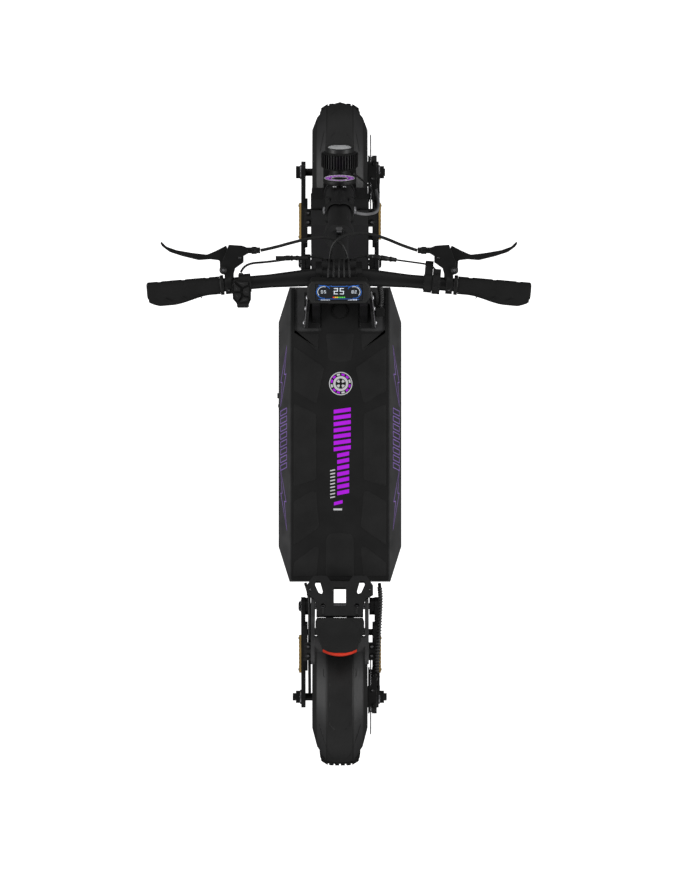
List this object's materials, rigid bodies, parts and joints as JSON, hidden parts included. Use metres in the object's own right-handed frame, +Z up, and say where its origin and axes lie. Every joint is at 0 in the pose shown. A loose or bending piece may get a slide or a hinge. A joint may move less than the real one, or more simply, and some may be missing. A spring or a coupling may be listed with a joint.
{
  "type": "electric kick scooter",
  "caption": "Folding electric kick scooter with a wide deck, fat tyres, sprung swingarms at both ends, disc brakes and a handlebar display.",
  "frame": {"origin": "on the ground at the middle of the scooter's footprint, midway between the two wheel axles in the median plane", "axes": "+Y forward, +X to the rider's right, +Z up"},
  "size_m": [0.6426, 1.232, 1.1577],
  "materials": {
    "deck_paint": "satin powder coat",
    "frame_paint": "satin powder coat",
    "mat_rubber": "matt embossed",
    "cell_wrap": "shrink film",
    "bare_aluminium": "die cast",
    "bolt_steel": "zinc plated",
    "black_steel": "black oxide",
    "black_plastic": "fine grain",
    "cable_jacket": "satin",
    "red_lens": "polished",
    "amber_reflector": "prismatic",
    "lamp_glass": "clear",
    "screen_glass": "glass-like",
    "badge_plastic": "polished",
    "tyre_rubber": "moulded",
    "rim_paint": "satin",
    "disc_steel": "ground",
    "grip_rubber": "matt",
    "button_plastic": "satin",
    "spring_steel": "gloss enamel",
    "fender_plastic": "fine grain"
  },
  "bodies": {
    "deck": {"deck_shell": "deck_paint", "deck_bottom_cover": "black_steel", "deck_mat": "mat_rubber", "battery_pack": "cell_wrap", "motor_controller": "bare_aluminium", "neck_spine": "frame_paint", "neck_gussets": "frame_paint", "deck_bolts": "bolt_steel", "kick_plate": "frame_paint", "taillight_housing": "black_plastic", "taillight_lens": "red_lens", "deck_cables": "cable_jacket"},
    "charge_flap": {"charge_cap": "grip_rubber"},
    "kickstand": {"kickstand_leg": "black_steel"},
    "fork": {"front_fork": "frame_paint", "fold_base": "frame_paint", "fork_pins": "bolt_steel", "headlight_housing": "frame_paint", "headlight_lens": "lamp_glass", "front_badge": "badge_plastic", "front_cables": "cable_jacket"},
    "front_arm": {"front_swingarm": "frame_paint", "front_axle": "black_steel", "front_fender": "fender_plastic", "front_reflectors": "amber_reflector", "front_caliper": "black_steel", "front_springs": "spring_steel"},
    "front_brake_arm": {"front_caliper_arm": "black_steel"},
    "front_wheel": {"front_tyre": "tyre_rubber", "front_hub": "rim_paint", "front_rotor": "disc_steel"},
    "rear_arm": {"rear_swingarm": "frame_paint", "rear_axle": "black_steel", "rear_fender": "fender_plastic", "rear_reflectors": "amber_reflector", "rear_caliper": "black_steel", "rear_springs": "spring_steel"},
    "rear_brake_arm": {"rear_caliper_arm": "black_steel"},
    "rear_wheel": {"rear_tyre": "tyre_rubber", "rear_motor_hub": "rim_paint", "rear_rotor": "disc_steel"},
    "stem": {"stem_tube": "frame_paint", "handlebar_clamp": "frame_paint", "handlebar": "frame_paint", "grips": "grip_rubber", "brake_perches": "black_steel", "switch_pod": "black_plastic", "throttle_housing": "black_plastic", "display_housing": "black_plastic", "display_screen": "screen_glass", "handlebar_cables": "cable_jacket"},
    "latch": {"fold_latch": "bolt_steel"},
    "left_lever": {"brake_lever_left": "black_steel"},
    "right_lever": {"brake_lever_right": "black_steel"},
    "trigger": {"throttle_trigger": "black_plastic"},
    "button_1_body": {"button_1": "button_plastic"},
    "button_2_body": {"button_2": "button_plastic"},
    "button_3_body": {"button_3": "button_plastic"},
    "button_4_body": {"button_4": "button_plastic"},
    "button_5_body": {"button_5": "button_plastic"}
  },
  "joints": [
    {"name": "steer", "type": "hinge", "parent": "deck", "child": "fork", "pos_m": [0, 0.466, 0.33], "axis": [0, -0.2419, 0.9703], "range_deg": [-45, 45]},
    {"name": "fold", "type": "hinge", "parent": "fork", "child": "stem", "pos_m": [0, 0.39669, 0.60799], "axis": [1, 0, 0], "range_deg": [0, 100]},
    {"name": "latch_lift", "type": "hinge", "parent": "stem", "child": "latch", "pos_m": [0, 0.34751, 0.88997], "axis": [1, 0, 0], "range_deg": [0, 40], "stiffness_Nm_per_rad": 0.05},
    {"name": "front_suspension", "type": "hinge", "parent": "fork", "child": "front_arm", "pos_m": [0, 0.318, 0.17], "axis": [1, 0, 0], "range_deg": [-3, 6], "stiffness_Nm_per_rad": 900, "springref_deg": -2.81, "deforming": ["front_springs", "front_cables"]},
    {"name": "rear_suspension", "type": "hinge", "parent": "deck", "child": "rear_arm", "pos_m": [0, -0.318, 0.17], "axis": [-1, 0, 0], "range_deg": [-3, 6], "stiffness_Nm_per_rad": 900, "springref_deg": -1.4, "deforming": ["rear_springs", "deck_cables"]},
    {"name": "front_wheel_spin", "type": "hinge", "parent": "front_arm", "child": "front_wheel", "pos_m": [0, 0.488, 0.128], "axis": [-1, 0, 0], "continuous": true},
    {"name": "rear_wheel_spin", "type": "hinge", "parent": "rear_arm", "child": "rear_wheel", "pos_m": [0, -0.488, 0.128], "axis": [-1, 0, 0], "continuous": true},
    {"name": "kickstand_swing", "type": "hinge", "parent": "deck", "child": "kickstand", "pos_m": [-0.096, 0.042, 0.096], "axis": [-1, 0, 0], "range_deg": [0, 97]},
    {"name": "charge_flap_lift", "type": "hinge", "parent": "deck", "child": "charge_flap", "pos_m": [-0.1147, 0.072, 0.1467], "axis": [0, 1, 0], "range_deg": [0, 110], "stiffness_Nm_per_rad": 0.02},
    {"name": "left_brake", "type": "hinge", "parent": "stem", "child": "left_lever", "pos_m": [-0.1935, 0.275, 1.102], "axis": [0, 0, 1], "range_deg": [0, 16], "stiffness_Nm_per_rad": 2},
    {"name": "right_brake", "type": "hinge", "parent": "stem", "child": "right_lever", "pos_m": [0.1935, 0.275, 1.102], "axis": [0, 0, -1], "range_deg": [0, 16], "stiffness_Nm_per_rad": 2},
    {"name": "front_brake_arm_pull", "type": "hinge", "parent": "front_arm", "child": "front_brake_arm", "pos_m": [0.071, 0.472, 0.2], "axis": [-1, 0, 0], "range_deg": [0, 14]},
    {"name": "rear_brake_arm_pull", "type": "hinge", "parent": "rear_arm", "child": "rear_brake_arm", "pos_m": [0.071, -0.472, 0.2], "axis": [1, 0, 0], "range_deg": [0, 14]},
    {"name": "throttle_pull", "type": "hinge", "parent": "stem", "child": "trigger", "pos_m": [0.04, 0.264, 1.102], "axis": [-0.9963, 0.0854, 0], "range_deg": [0, 25], "stiffness_Nm_per_rad": 0.15},
    {"name": "button_1_press", "type": "slide", "parent": "stem", "child": "button_1_body", "axis": [0, 0, -1], "range_m": [0, 0.0012], "stiffness_N_per_m": 600},
    {"name": "button_2_press", "type": "slide", "parent": "stem", "child": "button_2_body", "axis": [0, 0, -1], "range_m": [0, 0.0012], "stiffness_N_per_m": 600},
    {"name": "button_3_press", "type": "slide", "parent": "stem", "child": "button_3_body", "axis": [0, 0, -1], "range_m": [0, 0.0012], "stiffness_N_per_m": 600},
    {"name": "button_4_press", "type": "slide", "parent": "stem", "child": "button_4_body", "axis": [0, 0, -1], "range_m": [0, 0.0012], "stiffness_N_per_m": 600},
    {"name": "button_5_press", "type": "slide", "parent": "stem", "child": "button_5_body", "axis": [0, 0, -1], "range_m": [0, 0.0012], "stiffness_N_per_m": 600}
  ],
  "couplings": [
    {"joint": "front_brake_arm_pull", "follows": "left_brake", "ratio": 0.8},
    {"joint": "rear_brake_arm_pull", "follows": "right_brake", "ratio": 0.8}
  ]
}
